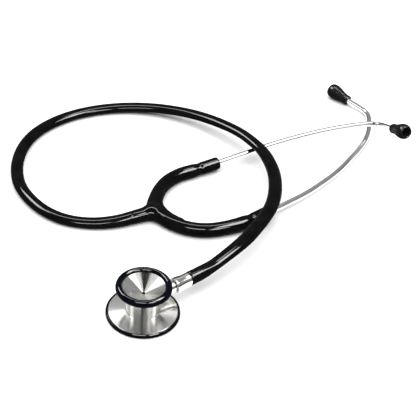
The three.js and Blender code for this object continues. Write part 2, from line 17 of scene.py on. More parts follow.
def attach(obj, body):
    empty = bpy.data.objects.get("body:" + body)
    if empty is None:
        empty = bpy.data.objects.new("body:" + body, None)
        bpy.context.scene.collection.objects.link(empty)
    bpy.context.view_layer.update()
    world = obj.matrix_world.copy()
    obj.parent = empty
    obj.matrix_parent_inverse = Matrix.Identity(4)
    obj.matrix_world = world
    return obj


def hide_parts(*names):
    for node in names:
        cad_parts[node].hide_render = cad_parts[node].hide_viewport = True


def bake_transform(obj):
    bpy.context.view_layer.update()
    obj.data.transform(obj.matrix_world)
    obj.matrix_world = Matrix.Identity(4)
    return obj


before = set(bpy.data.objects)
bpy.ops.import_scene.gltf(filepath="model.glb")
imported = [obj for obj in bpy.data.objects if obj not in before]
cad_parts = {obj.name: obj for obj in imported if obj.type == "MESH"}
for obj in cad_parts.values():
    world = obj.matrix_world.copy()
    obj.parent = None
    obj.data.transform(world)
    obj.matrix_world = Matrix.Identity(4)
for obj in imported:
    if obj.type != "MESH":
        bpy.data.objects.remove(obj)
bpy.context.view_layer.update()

MM = 0.001

# ---------- Camera ----------

CAMERA_AT = (0.03744, -0.56576, 0.52719)
CAMERA_RIGHT = Vector((0.99654, 0.05093, 0.06564))
CAMERA_UP = Vector((-0.08309, 0.61090, 0.78734))
LENS_MM = 102.86

camera = bpy.data.objects.new("camera", bpy.data.cameras.new("camera"))
bpy.context.scene.collection.objects.link(camera)
camera.data.lens = LENS_MM
camera.data.sensor_width = 36.0
camera.data.clip_start = 0.01
turn = Matrix((CAMERA_RIGHT, CAMERA_UP, CAMERA_RIGHT.cross(CAMERA_UP))).transposed()
camera.matrix_world = Matrix.Translation(CAMERA_AT) @ turn.to_4x4()
bpy.context.scene.camera = camera

# ---------- Routes, in millimetres ----------

HOSE_ROUTE = [
    (27.35, 24.62, 11.0), (31.1, 28.0, 11.0), (35.0, 31.6, 11.1), (42.6, 39.2, 11.9),
    (50.0, 47.9, 13.0), (57.4, 57.4, 14.0), (64.0, 67.3, 14.4), (70.1, 79.5, 14.4),
    (75.3, 91.3, 14.4), (79.6, 103.1, 14.4), (82.4, 118.0, 14.4), (82.6, 137.0, 14.4),
    (80.1, 152.6, 14.4), (73.4, 171.0, 14.4), (66.3, 182.3, 14.1), (55.0, 196.4, 13.0),
    (40.0, 209.3, 11.2), (22.0, 220.8, 9.0), (3.7, 228.0, 7.1), (-15.5, 231.7, 5.5),
    (-36.4, 231.1, 4.3), (-56.5, 225.6, 3.7), (-73.8, 216.4, 3.5), (-88.4, 203.4, 3.5),
    (-98.6, 189.0, 3.5), (-104.7, 173.0, 3.5), (-106.9, 156.0, 3.5), (-105.6, 138.0, 3.5),
    (-100.3, 120.2, 3.5), (-91.0, 105.5, 3.5), (-79.2, 93.7, 3.5), (-66.8, 86.5, 3.5),
    (-55.5, 83.6, 3.5), (-42.6, 83.4, 3.6), (-32.6, 85.2, 3.9), (-23.6, 88.2, 4.3),
    (-16.0, 92.0, 4.7),
]
YOKE_MIDDLE = (-3.2, 99.4, 5.0)
INLET_ROUTE = [(-19.0, 90.4, 4.5), (-16.0, 92.0, 4.7), (-9.5, 95.6, 4.9), YOKE_MIDDLE]
RIGHT_ARM_ROUTE = [
    (-2.9, 107.3, 5.0), (-2.2, 114.0, 5.0), (0.4, 126.5, 5.0), (5.2, 137.3, 5.0),
    (13.3, 146.6, 5.0), (20.5, 151.3, 5.1), (27.1, 155.4, 5.3), (33.8, 159.6, 5.7),
    (40.5, 163.8, 6.2),
]
LEFT_ARM_ROUTE = [
    (4.0, 94.4, 5.0), (9.3, 90.5, 5.0), (17.8, 86.2, 5.0), (28.2, 83.9, 5.0),
    (38.6, 84.7, 5.0), (48.9, 88.4, 5.0), (58.0, 93.3, 5.0), (66.9, 99.7, 5.0),
    (72.8, 105.0, 5.0), (78.7, 110.4, 5.0),
]
RIGHT_EAR_ROUTE = [
    (50.7, 170.4, 7.0), (61.0, 177.1, 7.7), (80.4, 189.4, 9.2), (94.1, 197.1, 10.2),
    (109.5, 205.1, 11.2), (125.0, 211.9, 12.3), (140.6, 217.3, 13.4), (150.0, 220.0, 14.0),
    (155.5, 221.2, 14.3), (159.5, 221.1, 14.5), (162.9, 219.9, 15.2), (165.3, 217.4, 16.5),
]
LEFT_EAR_ROUTE = [
    (88.7, 119.4, 4.8), (94.5, 125.2, 4.6), (101.8, 132.4, 4.4), (109.3, 140.6, 4.2),
    (116.8, 150.0, 4.0), (125.0, 160.8, 3.8), (133.3, 173.5, 3.6), (140.7, 187.1, 3.4),
    (149.2, 203.3, 3.2), (154.8, 218.1, 3.0), (157.8, 232.9, 2.8), (158.4, 247.0, 2.6),
    (157.9, 251.6, 2.6), (156.6, 255.0, 2.7), (154.6, 257.9, 3.0),
]
RIGHT_TIP = ((171.7, 204.2, 23.1), (0.4, -0.82, 0.41))  # base, and the way it points
LEFT_TIP = ((142.4, 268.0, 4.6), (-0.743, 0.661, 0.105))

# ---------- Sizes, in millimetres ----------

HOSE_HALF_W = 4.5
HOSE_HALF_H = 3.45
HOSE_CUFF_R = 4.75  # where the hose is stretched over the stem's barb
CROSSING_AT = (60, 190)  # near where the hose lies over the right ear tube
CROSSING_SLIMMING = 0.3  # taken off the hose's half height there
ARM_R = 5.0
ARM_WAIST_R = 4.3
SOCKET_R = 4.65
SOCKET_LENGTH = 16.0
EAR_TUBE_R = 2.15
STEM_Z = 11.0
STEM_HEADING = math.radians(42)


# ---------- Curves ----------


def spline(points, spacing=0.5):
    """Centripetal Catmull-Rom through the points, sampled evenly along its length."""
    p = np.array(points, float)
    p = np.vstack([2 * p[0] - p[1], p, 2 * p[-1] - p[-2]])
    samples = []
    for i in range(1, len(p) - 2):
        a, b, c, d = p[i - 1 : i + 3]
        knots = np.cumsum([0, *np.sqrt(np.linalg.norm(np.diff(p[i - 1 : i + 3], axis=0), axis=1))])
        t0, t1, t2, t3 = knots
        for t in np.linspace(t1, t2, 24, endpoint=False):
            ab = ((t1 - t) * a + (t - t0) * b) / (t1 - t0)
            bc = ((t2 - t) * b + (t - t1) * c) / (t2 - t1)
            cd = ((t3 - t) * c + (t - t2) * d) / (t3 - t2)
            abc = ((t2 - t) * ab + (t - t0) * bc) / (t2 - t0)
            bcd = ((t3 - t) * bc + (t - t1) * cd) / (t3 - t1)
            samples.append(((t2 - t) * abc + (t - t1) * bcd) / (t2 - t1))
    samples.append(p[-2])
    samples = np.array(samples)
    along = np.concatenate([[0], np.cumsum(np.linalg.norm(np.diff(samples, axis=0), axis=1))])
    even = np.linspace(0, along[-1], max(2, round(along[-1] / spacing)) + 1)
    return np.stack([np.interp(even, along, samples[:, k]) for k in range(3)], axis=1)


def distances(line):
    """Distance along a polyline of each of its points."""
    return np.concatenate([[0], np.cumsum(np.linalg.norm(np.diff(line, axis=0), axis=1))])


def directions(line):
    step = np.gradient(line, axis=0)
    return step / np.linalg.norm(step, axis=1)[:, None]


def smooth_step(value, low, high):
    t = np.clip((value - low) / (high - low), 0, 1)
    return t * t * (3 - 2 * t)


# ---------- Meshes ----------


def add_mesh(name, vertices_mm, faces, normals=None):
    """A smooth-shaded mesh object from vertices in millimetres."""
    mesh = bpy.data.meshes.new(name)
    mesh.from_pydata((np.asarray(vertices_mm) * MM).tolist(), [], faces)
    mesh.shade_smooth()
    mesh.validate()
    if normals is not None:
        mesh.normals_split_custom_set_from_vertices(np.asarray(normals).tolist())
    piece = bpy.data.objects.new(name, mesh)
    bpy.context.scene.collection.objects.link(piece)
    return piece


def grid_faces(rows, columns):
    """Quads of a grid whose columns close on themselves."""
    return [
        (i * columns + j, i * columns + (j + 1) % columns,
         (i + 1) * columns + (j + 1) % columns, (i + 1) * columns + j)
        for i in range(rows - 1)
        for j in range(columns)
    ]  # fmt: skip


def tube(name, line, half_w, half_h, sides=48):
    """A closed tube along a polyline. half_w is its half width sideways, half_h its half height."""
    heading = directions(line)
    side = np.cross(heading, (0, 0, 1))
    side /= np.linalg.norm(side, axis=1)[:, None]
    up = np.cross(side, heading)
    angle = np.linspace(0, 2 * math.pi, sides, endpoint=False)
    ring_w = np.broadcast_to(half_w, len(line))[:, None] * np.cos(angle)
    ring_h = np.broadcast_to(half_h, len(line))[:, None] * np.sin(angle)
    rings = line[:, None] + ring_w[..., None] * side[:, None] + ring_h[..., None] * up[:, None]
    faces = grid_faces(len(line), sides)
    last = (len(line) - 1) * sides
    faces.append(tuple(reversed(range(sides))))
    faces.append(tuple(range(last, last + sides)))
    return add_mesh(name, rings.reshape(-1, 3), faces)


def rounded(profile, steps=5):
    """An outline whose corners are rounded. A point may carry its own corner radius, third."""
    points = [np.array(p[:2], float) for p in profile]
    out = [points[0]]
    for i in range(1, len(points) - 1):
        before, here, after = points[i - 1], points[i], points[i + 1]
        radius = profile[i][2] if len(profile[i]) > 2 else 0.15
        to_before, to_after = before - here, after - here
        far_before, far_after = np.linalg.norm(to_before), np.linalg.norm(to_after)
        to_before, to_after = to_before / far_before, to_after / far_after
        half = math.acos(np.clip(to_before @ to_after, -1, 1)) / 2
        reach = min(radius / max(math.tan(half), 1e-6), 0.45 * far_before, 0.45 * far_after)
        if half > 1.5 or reach < 1e-4:
            out.append(here)
            continue
        start, end = here + to_before * reach, here + to_after * reach
        for t in np.linspace(0, 1, steps):
            out.append((1 - t) ** 2 * start + 2 * t * (1 - t) * here + t * t * end)
    out.append(points[-1])
    return np.array(out)


def lathe(name, profile, segments=160, place=None):
    """A turned piece from an outline of (radius, height) points, the solid on its left."""
    step = np.diff(profile, axis=0)
    length = np.linalg.norm(step, axis=1)
    facing = np.stack([step[:, 1], -step[:, 0]], axis=1)  # already weighted by length
    closed = np.allclose(profile[0], profile[-1])
    first = facing[0] + (facing[-1] if closed else 0)
    last = facing[-1] + (facing[0] if closed else 0)
    normal = np.vstack([first, facing[:-1] + facing[1:], last])
    normal /= np.maximum(np.linalg.norm(normal, axis=1), 1e-9)[:, None]
    assert length.min() > 1e-6, name
    angle = np.linspace(0, 2 * math.pi, segments, endpoint=False)
    cos, sin = np.cos(angle), np.sin(angle)

    def spun(pairs):
        height = np.broadcast_to(pairs[:, 1:2], (len(pairs), segments))
        return np.stack([pairs[:, :1] * cos, pairs[:, :1] * sin, height], axis=2).reshape(-1, 3)

    vertices, normals = spun(profile), spun(normal)
    faces = grid_faces(len(profile), segments)
    if place is not None:
        turned = np.array(place.to_3x3())
        vertices = vertices @ turned.T + np.array(place.translation)
        normals = normals @ turned.T
    return add_mesh(name, vertices, faces, normals)


def aimed(base, aim):
    """Places a piece turned about +Z so that it stands on base and points along aim."""
    turned = Vector(aim).normalized().to_track_quat("Z", "Y").to_matrix().to_4x4()
    return Matrix.Translation(base) @ turned


# ---------- Hose ----------

hose_line = spline(HOSE_ROUTE, spacing=1.5)
hose_at = distances(hose_line)
hose_length = hose_at[-1]
from_cuff = smooth_step(hose_at, 8, 24)
swell = smooth_step(hose_at, 20, 60) * (1 - smooth_step(hose_at, 110, 190))
to_yoke = smooth_step(hose_at, hose_length - 40, hose_length)
hose_half_w = HOSE_CUFF_R + (HOSE_HALF_W - HOSE_CUFF_R) * from_cuff + 0.45 * swell + 0.25 * to_yoke
hose_half_h = HOSE_CUFF_R + (HOSE_HALF_H - HOSE_CUFF_R) * from_cuff + 0.3 * swell + 1.15 * to_yoke
hose_half_h = np.minimum(hose_half_h, hose_line[:, 2])  # it lies on the table
from_crossing = np.hypot(hose_line[:, 0] - CROSSING_AT[0], hose_line[:, 1] - CROSSING_AT[1])
hose_half_h = hose_half_h - CROSSING_SLIMMING * (1 - smooth_step(from_crossing, 12, 35))
hose = tube("hose", hose_line, hose_half_w, hose_half_h, sides=64)
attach(hose, "tubing")
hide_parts("main_tube")

# ---------- Yoke: one soft moulding, skinned over a smooth blend of three round limbs ----------


class Limb:
    """One limb of the yoke, as a distance field."""

    def __init__(self, route, half_w, half_h, mouth=False):
        line = spline(route)
        if mouth:  # carried on past the mouth, then cut square there
            end, out = line[-1], directions(line)[-1]
            line = np.vstack([line, end + out * np.arange(0.5, 4, 0.5)[:, None]])
        self.mouth = (end, out) if mouth else None
        self.line = line
        self.heading = directions(line)
        side = np.cross(self.heading, (0, 0, 1))
        self.side = side / np.linalg.norm(side, axis=1)[:, None]
        self.up = np.cross(self.side, self.heading)
        self.half_w = np.broadcast_to(half_w(line) if callable(half_w) else half_w, len(line))
        self.half_h = np.broadcast_to(half_h(line) if callable(half_h) else half_h, len(line))

    def field(self, points):
        """Roughly the distance from each point to the limb's surface, negative inside."""
        out = np.empty(len(points))
        for start in range(0, len(points), 20000):
            p = points[start : start + 20000]
            gap = ((p[:, None] - self.line[None]) ** 2).sum(axis=2)
            near = gap.argmin(axis=1)
            offset = p - self.line[near]
            along = np.clip((offset * self.heading[near]).sum(axis=1), -0.3, 0.3)
            place = near + along / 0.5
            index = np.arange(len(self.line))
            w = np.interp(place, index, self.half_w)
            h = np.interp(place, index, self.half_h)
            offset = offset - along[:, None] * self.heading[near]
            across = (offset * self.side[near]).sum(axis=1) / w
            above = (offset * self.up[near]).sum(axis=1) / h
            ahead = (offset * self.heading[near]).sum(axis=1) / np.minimum(w, h)
            ratio = np.sqrt(across**2 + above**2 + ahead**2)
            out[start : start + len(p)] = (ratio - 1) * np.minimum(w, h)
        if self.mouth:
            end, way = self.mouth
            out = -soft_union(-out, -((points - end) @ way), 1.4)
        return out


def soft_union(a, b, reach):
    """The smaller of two distance fields, rounded where they meet."""
    share = np.clip(0.5 + 0.5 * (b - a) / reach, 0, 1)
    return b * (1 - share) + a * share - reach * share * (1 - share)


def arm_radius(line):
    """Full arm, then a waist, then the socket for the ear tube."""
    to_mouth = distances(line)[-1] - 3.5 - distances(line)
    before_waist = smooth_step(to_mouth, SOCKET_LENGTH, SOCKET_LENGTH + 6)
    in_socket = 1 - smooth_step(to_mouth, SOCKET_LENGTH - 2.5, SOCKET_LENGTH)
    radius = ARM_WAIST_R + (ARM_R - ARM_WAIST_R) * before_waist
    return radius + (SOCKET_R - ARM_WAIST_R) * in_socket


def inlet_half_h(line):
    return np.interp(distances(line), [0, 6, 18], [4.45, 4.7, 5.0])


def inlet_half_w(line):
    return np.interp(distances(line), [0, 6, 18], [4.65, 5.0, 5.4])


WEB_CURVE_AT = np.array([33.0, 120.0])  # the crotch's hollow edge is an arc about this point
WEB_CURVE_R = 31.5
WEB_REACH = 24.0
WEB_HALF_T = 2.9

right_limb = Limb([YOKE_MIDDLE, *RIGHT_ARM_ROUTE], arm_radius, arm_radius, mouth=True)
left_limb = Limb([YOKE_MIDDLE, *LEFT_ARM_ROUTE], arm_radius, arm_radius, mouth=True)
inlet_limb = Limb(INLET_ROUTE, inlet_half_w, inlet_half_h)


def web_field(points):
    """The flat web that fills the crotch between the arms."""
    flat = points[:, :2] - np.array(YOKE_MIDDLE[:2])
    edge = WEB_CURVE_R - np.linalg.norm(points[:, :2] - WEB_CURVE_AT, axis=1)
    # The web stops at the middle lines of the two arms.
    beyond_right = flat @ np.array([-0.988, 0.153])
    beyond_left = flat @ np.array([-0.532, -0.847])
    reach = np.linalg.norm(flat, axis=1) - WEB_REACH
    outline = np.max([edge, beyond_right, beyond_left, reach], axis=0)
    thick = np.abs(points[:, 2] - YOKE_MIDDLE[2]) - WEB_HALF_T
    corner = 1.6
    outside = np.hypot(np.maximum(outline + corner, 0), np.maximum(thick + corner, 0))
    return outside + np.minimum(np.maximum(outline, thick) + corner, 0) - corner


def yoke_field(points):
    arms = soft_union(right_limb.field(points), left_limb.field(points), 3.0)
    arms = soft_union(arms, web_field(points), 3.5)
    whole = soft_union(arms, inlet_limb.field(points), 2.5)
    return -soft_union(-whole, points[:, 2], 0.8)  # flattened a little where it lies on the table


def field_slope(field, points, step=0.02):
    slope = np.empty_like(points)
    for k in range(3):
        shift = np.zeros(3)
        shift[k] = step
        slope[:, k] = (field(points + shift) - field(points - shift)) / (2 * step)
    return slope


def settle(field, points, rounds=5):
    """Moves points on to the field's zero surface, and gives the surface's normals there."""
    for _ in range(rounds):
        slope = field_slope(field, points)
        square = np.maximum((slope**2).sum(axis=1), 0.1)
        points = points - np.clip(field(points) / square, -1, 1)[:, None] * slope
    slope = field_slope(field, points)
    return points, slope / np.maximum(np.linalg.norm(slope, axis=1), 1e-9)[:, None]


def rough_yoke():
    """A coarse closed start for the yoke's skin: tubes and a web, merged into one surface."""
    parts = [
        tube("rough", limb.line, limb.half_w, limb.half_h, sides=24)
        for limb in (right_limb, left_limb, inlet_limb)
    ]
    web = bpy.data.meshes.new("rough")
    outline = [(-6, 96), (0.5, 116), (3.5, 105.5), (8, 99.5), (15, 93.5), (4, 90)]
    low, high = YOKE_MIDDLE[2] - WEB_HALF_T, YOKE_MIDDLE[2] + WEB_HALF_T
    corners = [(x * MM, y * MM, z * MM) for z in (low, high) for x, y in outline]
    n = len(outline)
    sides = [(i, (i + 1) % n, n + (i + 1) % n, n + i) for i in range(n)]
    web.from_pydata(corners, [], [tuple(range(n)), tuple(reversed(range(n, 2 * n))), *sides])
    web_piece = bpy.data.objects.new("rough", web)
    bpy.context.scene.collection.objects.link(web_piece)
    parts.append(web_piece)
    with bpy.context.temp_override(
        active_object=parts[0], selected_editable_objects=parts, selected_objects=parts
    ):
        bpy.ops.object.join()
    merged = parts[0]
    remesh = merged.modifiers.new("merge", "REMESH")
    remesh.mode = "VOXEL"
    remesh.voxel_size = 0.5 * MM
    even = merged.modifiers.new("even", "SMOOTH")
    even.factor = 0.5
    even.iterations = 4
    evaluated = merged.evaluated_get(bpy.context.evaluated_depsgraph_get())
    mesh = evaluated.to_mesh()
    vertices = np.array([v.co for v in mesh.vertices]) / MM
    faces = [tuple(p.vertices) for p in mesh.polygons]
    evaluated.to_mesh_clear()
    bpy.data.objects.remove(merged)
    return vertices, faces


def yoke_halves():
    """The yoke's skin, parted along the middle of the fork into a right and a left half."""
    vertices, faces = rough_yoke()
    vertices, normals = settle(yoke_field, vertices)
    across = np.array([-0.62, 0.785])  # from the left arm's side to the right arm's
    side = (vertices[:, :2] - np.array(YOKE_MIDDLE[:2])) @ across
    halves = []
    for name, sign in (("yoke_right", 1), ("yoke_left", -1)):
        mine = [f for f in faces if sign * side[list(f)].mean() > 0]
        used = np.unique([i for f in mine for i in f])
        renumber = {old: new for new, old in enumerate(used)}
        mine = [tuple(renumber[i] for i in f) for f in mine]
        halves.append(add_mesh(name, vertices[used], mine, normals[used]))
    return halves


def bend_with(piece):
    """Bakes the half's placement into its mesh."""
    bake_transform(piece)


yoke_right, yoke_left = yoke_halves()
bend_with(yoke_right)
bend_with(yoke_left)
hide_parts("right_yoke_arm", "yoke_junction")
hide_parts("left_yoke_arm", "yoke_spring")

# ---------- Chestpiece ----------

STEM_FRAME = Matrix.Translation((0, 0, STEM_Z)) @ Matrix.Rotation(STEM_HEADING, 4, "Z")
STEM_PLACE = STEM_FRAME @ Matrix.Rotation(math.pi / 2, 4, "Y")  # for pieces turned about +Z

CHESTPIECE_OUTLINE = [
    (0, 2.9), (3.0, 2.8), (19.8, 1.9), (20.4, 1.5), (22.5, 1.5, 0.1), (22.5, 2.8, 0.15),
    (22.2, 3.05, 0.3), (11.5, 4.1, 0.15), (11.1, 4.4, 0.1), (12.45, 18.6, 0.8), (13.2, 19.9, 1.0),
    (14.6, 20.6, 0.3), (15.3, 21.1), (15.3, 22.9), (14.9, 23.3), (13.6, 23.3, 0.1),
    (1.15, 17.5, 0.05), (1.1, 17.3),
]  # fmt: skip
PORT_OUTLINE = [(1.1, 17.3), (1.0, 16.8), (1.0, 12.0), (0, 12.0)]  # sound hole in the bell
BOSS_OUTLINE = [
    (0, 6), (5.2, 6), (5.2, 16.0, 0.3), (4.25, 16.0, 0.1), (4.25, 12.0), (0, 12.0),
]  # fmt: skip
SLEEVE_OUTLINE = [
    (3.5, 12.7), (3.95, 12.7, 0.05), (3.95, 23.9, 0.2), (3.5, 23.9, 0.05), (3.5, 12.7),
]  # fmt: skip
COLLAR_OUTLINE = [
    (3.5, 24.2), (4.9, 24.2, 0.05), (5.35, 24.6, 0.3), (5.35, 27.0, 2.0), (4.8, 31.2, 3.0),
    (4.8, 36.2, 0.1), (4.5, 36.5, 0.1), (3.5, 36.5, 0.05), (3.5, 24.2),
]  # fmt: skip
DIAPHRAGM_OUTLINE = [
    (0, 0), (20.2, 0), (20.8, 0.7), (22.0, 0.7, 0.05), (22.0, 1.2, 0.05), (20.4, 1.2),
    (19.8, 0.5), (0, 0.5),
]  # fmt: skip
DIAPHRAGM_RING_OUTLINE = [
    (20.95, 0.2), (20.95, 0, 0.05), (23.0, 0, 0.6), (23.9, 0.7, 0.6), (24.0, 1.6, 1.0),
    (23.8, 2.7, 0.6), (23.3, 3.2, 0.3), (22.9, 3.15, 0.1), (22.8, 2.8, 0.1), (22.8, 0.4, 0.1),
    (20.95, 0.4, 0.05), (20.95, 0.2),
]  # fmt: skip


def ring_outline():
    """The bell ring's oval section, 36 mm across outside."""
    angle = np.linspace(0, 2 * math.pi, 65)
    angle[-1] = 0
    return np.stack([15.8 + 2.3 * np.cos(angle), 22.5 + 2.75 * np.sin(angle)], axis=1)


body = lathe("chestpiece_turned", rounded(CHESTPIECE_OUTLINE), segments=256)
# The sound hole's wall and floor, painted near-black as shade.
port = lathe("chestpiece_port", np.array(PORT_OUTLINE), segments=48)
boss = lathe("chestpiece_boss", rounded(BOSS_OUTLINE), place=STEM_PLACE)
sleeve = lathe("stem_sleeve_turned", rounded(SLEEVE_OUTLINE), place=STEM_PLACE)
collar = lathe("stem_collar_turned", rounded(COLLAR_OUTLINE), segments=192, place=STEM_PLACE)
diaphragm = lathe("diaphragm_sheet", rounded(DIAPHRAGM_OUTLINE))
diaphragm_ring = lathe("diaphragm_rim", rounded(DIAPHRAGM_RING_OUTLINE), segments=256)
bell_ring = lathe("bell_rim", ring_outline(), segments=256)

for piece, node, slot_name, rides in (
    (body, "chestpiece_body", "polished_steel", "chestpiece"),
    (port, "chestpiece_body", "polished_steel", "chestpiece"),
    (boss, "chestpiece_body", "polished_steel", "chestpiece"),
    (sleeve, "stem_sleeve", "polished_steel", "chestpiece"),
    (diaphragm, "diaphragm", "membrane", "chestpiece"),
    (diaphragm_ring, "diaphragm_ring", "ring_rubber", "chestpiece"),
    (bell_ring, "bell_ring", "ring_rubber", "chestpiece"),
    (collar, "stem_collar", "polished_steel", "tubing"),
):
    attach(piece, rides)
    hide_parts(node)


SLOT_LENGTH, SLOT_WIDTH, SLOT_DEPTH = 5.4, 1.9, 1.1
SLOT_START = 25.0  # along the stem
SLOT_TOP_R = 5.6
SLOT_TILT = math.radians(-20)


def box_mesh(name, size, place):
    mesh = bpy.data.meshes.new(name)
    x, y, z = (v / 2 for v in size)
    corners = [place @ Vector((a * x, b * y, c * z)) for a in (-1, 1) for b in (-1, 1) for c in (-1, 1)]
    quads = [(0, 1, 3, 2), (4, 6, 7, 5), (0, 4, 5, 1), (2, 3, 7, 6), (0, 2, 6, 4), (1, 5, 7, 3)]
    mesh.from_pydata([tuple(c * MM) for c in corners], [], quads)
    piece = bpy.data.objects.new(name, mesh)
    bpy.context.scene.collection.objects.link(piece)
    return piece


def cut_index_slot(piece):
    """The index slot in the collar's upper side. Its walls and floor become material 1, painted
    near-black as shade.
    """
    low_r = SLOT_TOP_R - SLOT_DEPTH
    middle = Matrix.Translation((SLOT_START + SLOT_LENGTH / 2, 0, low_r + SLOT_DEPTH))
    place = STEM_FRAME @ Matrix.Rotation(SLOT_TILT, 4, "X") @ middle
    cutter = box_mesh("cutter", (SLOT_LENGTH, SLOT_WIDTH, 2 * SLOT_DEPTH), place)
    turned_mesh = piece.data
    normals = {}
    tree = KDTree(len(turned_mesh.vertices))
    for loop in turned_mesh.loops:
        normals[loop.vertex_index] = loop.normal.copy()
    for vertex in turned_mesh.vertices:
        tree.insert(vertex.co, vertex.index)
    tree.balance()
    boolean = piece.modifiers.new("slot", "BOOLEAN")
    boolean.operation = "DIFFERENCE"
    boolean.solver = "EXACT"
    boolean.object = cutter
    bpy.context.view_layer.update()
    cut = bpy.data.meshes.new_from_object(piece.evaluated_get(bpy.context.evaluated_depsgraph_get()))
    piece.modifiers.clear()
    bpy.data.objects.remove(cutter)
    to_slot = place.inverted()
    corner_normals = []
    for face in cut.polygons:
        centre = to_slot @ (face.center / MM)
        inside = abs(centre.x) < SLOT_LENGTH / 2 + 0.01 and abs(centre.y) < SLOT_WIDTH / 2 + 0.01
        in_slot = inside and abs(centre.z) < SLOT_DEPTH + 0.01
        # Material 1 paints the slot's walls and floor near-black as shade.
        face.material_index = 1 if in_slot else 0
        for i in face.vertices:
            smooth = normals[tree.find(cut.vertices[i].co)[1]]
            corner_normals.append(face.normal if in_slot or smooth.dot(face.normal) < 0.8 else smooth)
    cut.normals_split_custom_set([tuple(n) for n in corner_normals])
    piece.data = cut


cut_index_slot(collar)

# ---------- Ear tubes and tips ----------

INSERTED = 15.0
TIP_COVER = 4.0
TIP_OUTLINE = [
    (2.3, 1.0), (2.3, 0, 0.05), (3.5, 0, 0.3), (3.8, 0.6, 0.3), (3.72, 3.5, 2.0), (4.1, 6.5, 3.0),
    (5.0, 10.0, 3.0), (5.6, 12.8, 3.0), (5.8, 15.0, 3.0), (5.5, 17.2, 2.0), (4.75, 18.8, 0.8),
    (4.0, 19.5, 0.5), (3.4, 19.3, 0.5), (2.8, 17.4, 2.0), (1.7, 13.5, 2.0), (1.5, 10.8, 0.1),
    (2.3, 10.7, 0.05), (2.3, 1.0),
]  # fmt: skip


def ear_line(arm_route, ear_route, tip):
    base, aim = (np.array(v, float) for v in tip)
    mouth, behind = np.array(arm_route[-1]), np.array(arm_route[-2])
    inside = mouth + (behind - mouth) / np.linalg.norm(behind - mouth) * INSERTED
    into_tip = base + aim / np.linalg.norm(aim) * TIP_COVER
    return spline([inside, mouth, *ear_route, base, into_tip])


for side, arm_route, ear_route, tip in (
    ("left", LEFT_ARM_ROUTE, LEFT_EAR_ROUTE, LEFT_TIP),
    ("right", RIGHT_ARM_ROUTE, RIGHT_EAR_ROUTE, RIGHT_TIP),
):
    chrome_tube = tube(f"{side}_chrome_tube", ear_line(arm_route, ear_route, tip), EAR_TUBE_R, EAR_TUBE_R)
    soft_tip = lathe(f"{side}_soft_tip", rounded(TIP_OUTLINE, 7), segments=96, place=aimed(*tip))
    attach(chrome_tube, f"{side}_ear")
    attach(soft_tip, f"{side}_ear")
    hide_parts(f"{side}_ear_tube")
    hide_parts(f"{side}_ear_tip")

# ---------- Materials ----------


class Shader:
    """A Principled material built up from small steps."""

    def __init__(self, name, **settings):
        self.material = bpy.data.materials.new(name)
        self.material.use_nodes = True
        self.nodes = self.material.node_tree.nodes
        self.links = self.material.node_tree.links
        self.principled = self.nodes["Principled BSDF"]
        for socket, value in settings.items():
            self.principled.inputs[socket.replace("_", " ")].default_value = value
        self.place = self.nodes.new("ShaderNodeTexCoord").outputs["Object"]

    def noise(self, size_mm, detail=3.0):
        """Noise whose features are size_mm across."""
        texture = self.nodes.new("ShaderNodeTexNoise")
        texture.inputs["Scale"].default_value = 1 / (size_mm * MM)
        texture.inputs["Detail"].default_value = detail
        self.links.new(self.place, texture.inputs["Vector"])
        return texture.outputs["Fac"]

    def tracks(self, pitch_mm):
        """Rings round the Z axis, as fine as a lathe tool leaves them."""
        split = self.nodes.new("ShaderNodeSeparateXYZ")
        self.links.new(self.place, split.inputs["Vector"])
        flat = self.nodes.new("ShaderNodeCombineXYZ")
        self.links.new(split.outputs["X"], flat.inputs["X"])
        self.links.new(split.outputs["Y"], flat.inputs["Y"])
        radius = self.nodes.new("ShaderNodeVectorMath")
        radius.operation = "LENGTH"
        self.links.new(flat.outputs["Vector"], radius.inputs["Vector"])
        ring = self.nodes.new("ShaderNodeCombineXYZ")
        self.links.new(radius.outputs["Value"], ring.inputs["X"])
        self.links.new(split.outputs["Z"], ring.inputs["Y"])
        texture = self.nodes.new("ShaderNodeTexNoise")
        texture.inputs["Scale"].default_value = 1 / (pitch_mm * MM)
        texture.inputs["Detail"].default_value = 2.0
        self.links.new(ring.outputs["Vector"], texture.inputs["Vector"])
        return texture.outputs["Fac"]

    def ramp(self, value, stops):
        """Maps a value through (position, grey or colour) stops."""
        ramp = self.nodes.new("ShaderNodeValToRGB")
        while len(ramp.color_ramp.elements) < len(stops):
            ramp.color_ramp.elements.new(0.5)
        for element, (position, colour) in zip(ramp.color_ramp.elements, stops):
            element.position = position
            element.color = (*colour, 1) if isinstance(colour, tuple) else (colour, colour, colour, 1)
        self.links.new(value, ramp.inputs["Fac"])
        return ramp.outputs["Color"]

    def feed(self, socket, value):
        self.links.new(value, self.principled.inputs[socket])

    def mottle(self, size_mm, detail, dark, light):
        """The base colour drifts between two tones, in patches size_mm across."""
        self.feed("Base Color", self.ramp(self.noise(size_mm, detail), [(0.3, dark), (0.7, light)]))

    def wear(self, size_mm, detail, smooth, rough, low=0.3, high=0.7):
        """The roughness drifts between two values, in patches size_mm across."""
        self.feed("Roughness", self.ramp(self.noise(size_mm, detail), [(low, smooth), (high, rough)]))

    def bump(self, *layers):
        """Each layer is a height value and the real depth of its relief in millimetres."""
        normal = None
        for height, depth_mm in layers:
            bump = self.nodes.new("ShaderNodeBump")
            bump.inputs["Strength"].default_value = 1.0
            bump.inputs["Distance"].default_value = depth_mm * MM
            self.links.new(height, bump.inputs["Height"])
            if normal:
                self.links.new(normal, bump.inputs["Normal"])
            normal = bump.outputs["Normal"]
        self.feed("Normal", normal)


def vinyl_material():
    """Glossy black vinyl: a faint long wave in the surface, fine dust and rubbed patches."""
    s = Shader("black_vinyl", IOR=1.45, Specular_IOR_Level=0.25)
    s.mottle(9, 4, (0.0015, 0.0015, 0.0018), (0.004, 0.004, 0.0045))
    s.wear(4, 6, 0.06, 0.13, low=0.35, high=0.75)
    s.bump((s.noise(7, 1), 0.005), (s.noise(0.35, 2), 0.0003))
    return s.material


